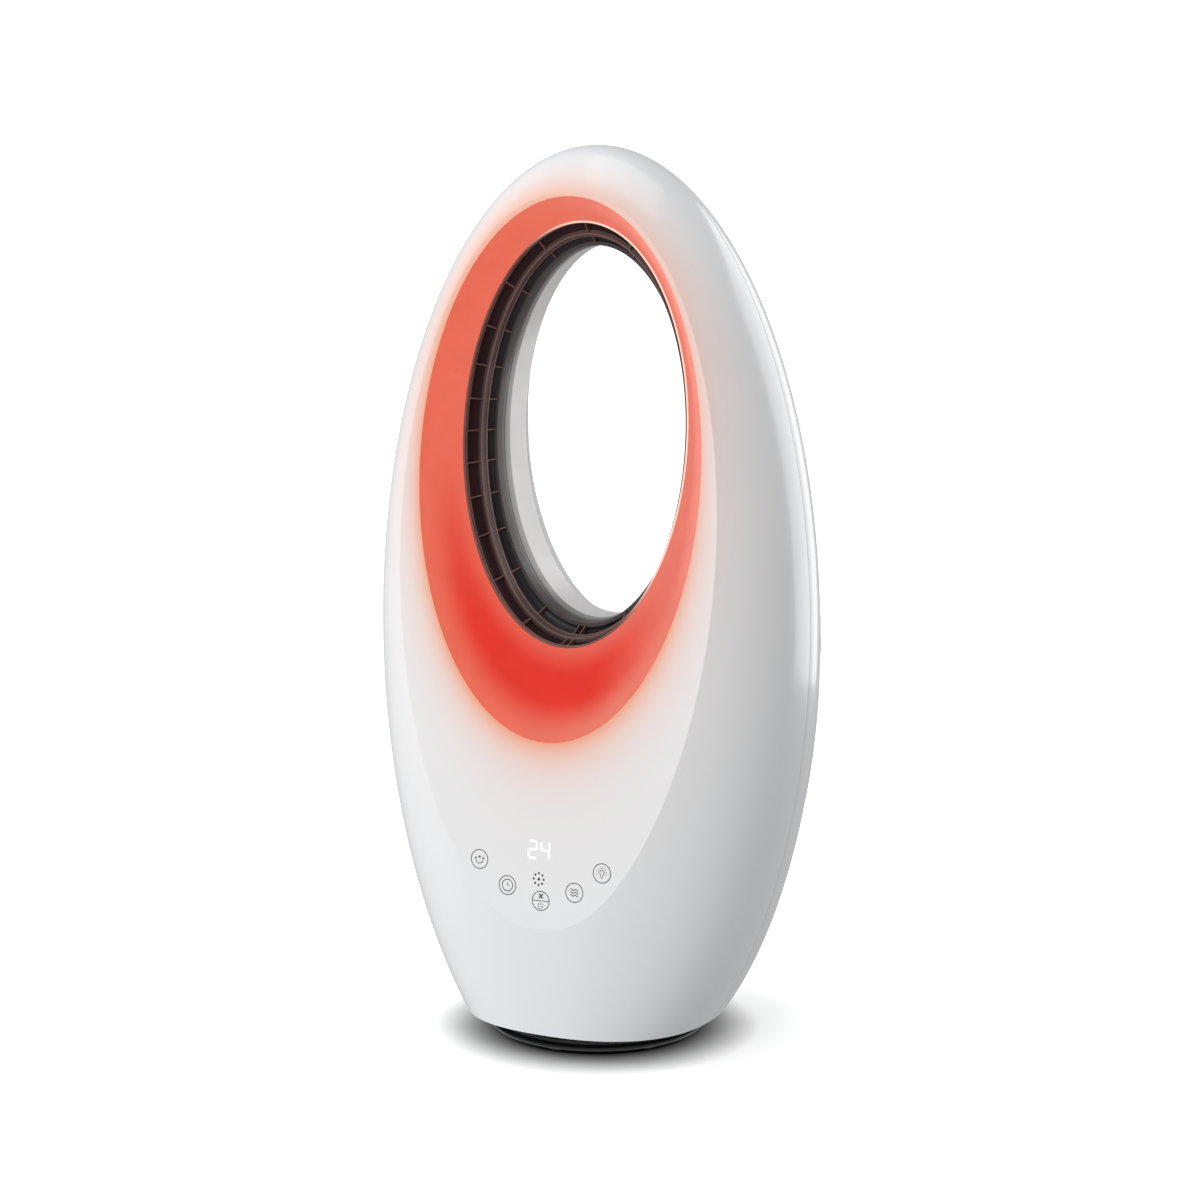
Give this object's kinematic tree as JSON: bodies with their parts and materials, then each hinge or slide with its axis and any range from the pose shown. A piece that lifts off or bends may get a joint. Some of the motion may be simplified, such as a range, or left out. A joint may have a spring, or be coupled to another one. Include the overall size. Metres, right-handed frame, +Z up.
{
  "type": "bladeless fan",
  "caption": "Oval bladeless table fan that blows air forward through a ringed hole, swings on a round base, with a light ring and touch controls.",
  "frame": {"origin": "on the floor, in the middle of the round base and of the body's width and depth", "axes": "+Z up, -Y to the front that blows air, +X to the right seen from the front"},
  "size_m": [0.3116, 0.1762, 0.6],
  "materials": {
    "white_shell": "gloss",
    "light_ring": "satin translucent, lit coral red",
    "throat_grey": "satin",
    "grille_brown": "semi-gloss",
    "base_black": "gloss",
    "rubber_black": "matt",
    "frame_grey": "matt",
    "blower_black": "matt",
    "nylon_white": "matt",
    "steel": "zinc plated",
    "iron": "rough",
    "board_green": "solder mask",
    "filter_grey": "woven mesh"
  },
  "bodies": {
    "base": {"base_plate": "base_black", "ballast_weight": "iron", "base_cover": "base_black", "rubber_foot_1": "rubber_black", "rubber_foot_2": "rubber_black", "rubber_foot_3": "rubber_black", "rubber_foot_4": "rubber_black", "rubber_foot_5": "rubber_black", "rubber_foot_6": "rubber_black", "base_screw_1": "steel", "base_screw_2": "steel", "base_screw_3": "steel", "swing_gear": "nylon_white", "slide_ring": "nylon_white", "pivot_washer": "steel", "pivot_screw": "steel"},
    "body": {"front_shell": "white_shell", "rear_shell": "white_shell", "inlet_panel": "white_shell", "light_reflector": "white_shell", "light_diffuser": "light_ring", "throat_ring": "throat_grey", "outlet_grille": "grille_brown", "display_module": "base_black", "power_socket": "base_black", "motor_mount_lower": "rubber_black", "motor_mount_upper": "rubber_black", "turntable": "frame_grey", "stator": "frame_grey", "motor_cap": "frame_grey", "blower_housing": "blower_black", "inlet_bell": "blower_black", "air_duct": "blower_black", "swing_motor": "steel", "swing_motor_screw_1": "steel", "swing_motor_screw_2": "steel", "shell_screw_1": "steel", "shell_screw_2": "steel", "shell_screw_3": "steel", "shell_screw_4": "steel", "housing_screw_1": "steel", "housing_screw_2": "steel", "housing_screw_3": "steel", "housing_screw_4": "steel", "fan_motor": "steel", "led_strip": "board_green", "touch_board": "board_green", "display_board": "board_green", "control_board": "board_green", "dust_filter": "filter_grey"},
    "impeller": {"impeller": "nylon_white", "motor_shaft": "steel", "impeller_nut": "steel"},
    "swing_pinion": {"swing_pinion": "nylon_white"}
  },
  "joints": [
    {"name": "swing", "type": "hinge", "parent": "base", "child": "body", "pos_m": [0, 0, 0.02], "axis": [0, 0, 1], "range_deg": [-40, 40]},
    {"name": "impeller_spin", "type": "hinge", "parent": "body", "child": "impeller", "pos_m": [0, 0.006, 0.1], "axis": [0, 0, 1], "continuous": true},
    {"name": "pinion_spin", "type": "hinge", "parent": "body", "child": "swing_pinion", "pos_m": [0, 0.036, 0.02], "axis": [0, 0, 1], "range_deg": [-125, 125]}
  ],
  "couplings": [
    {"joint": "pinion_spin", "follows": "swing", "ratio": 3}
  ]
}
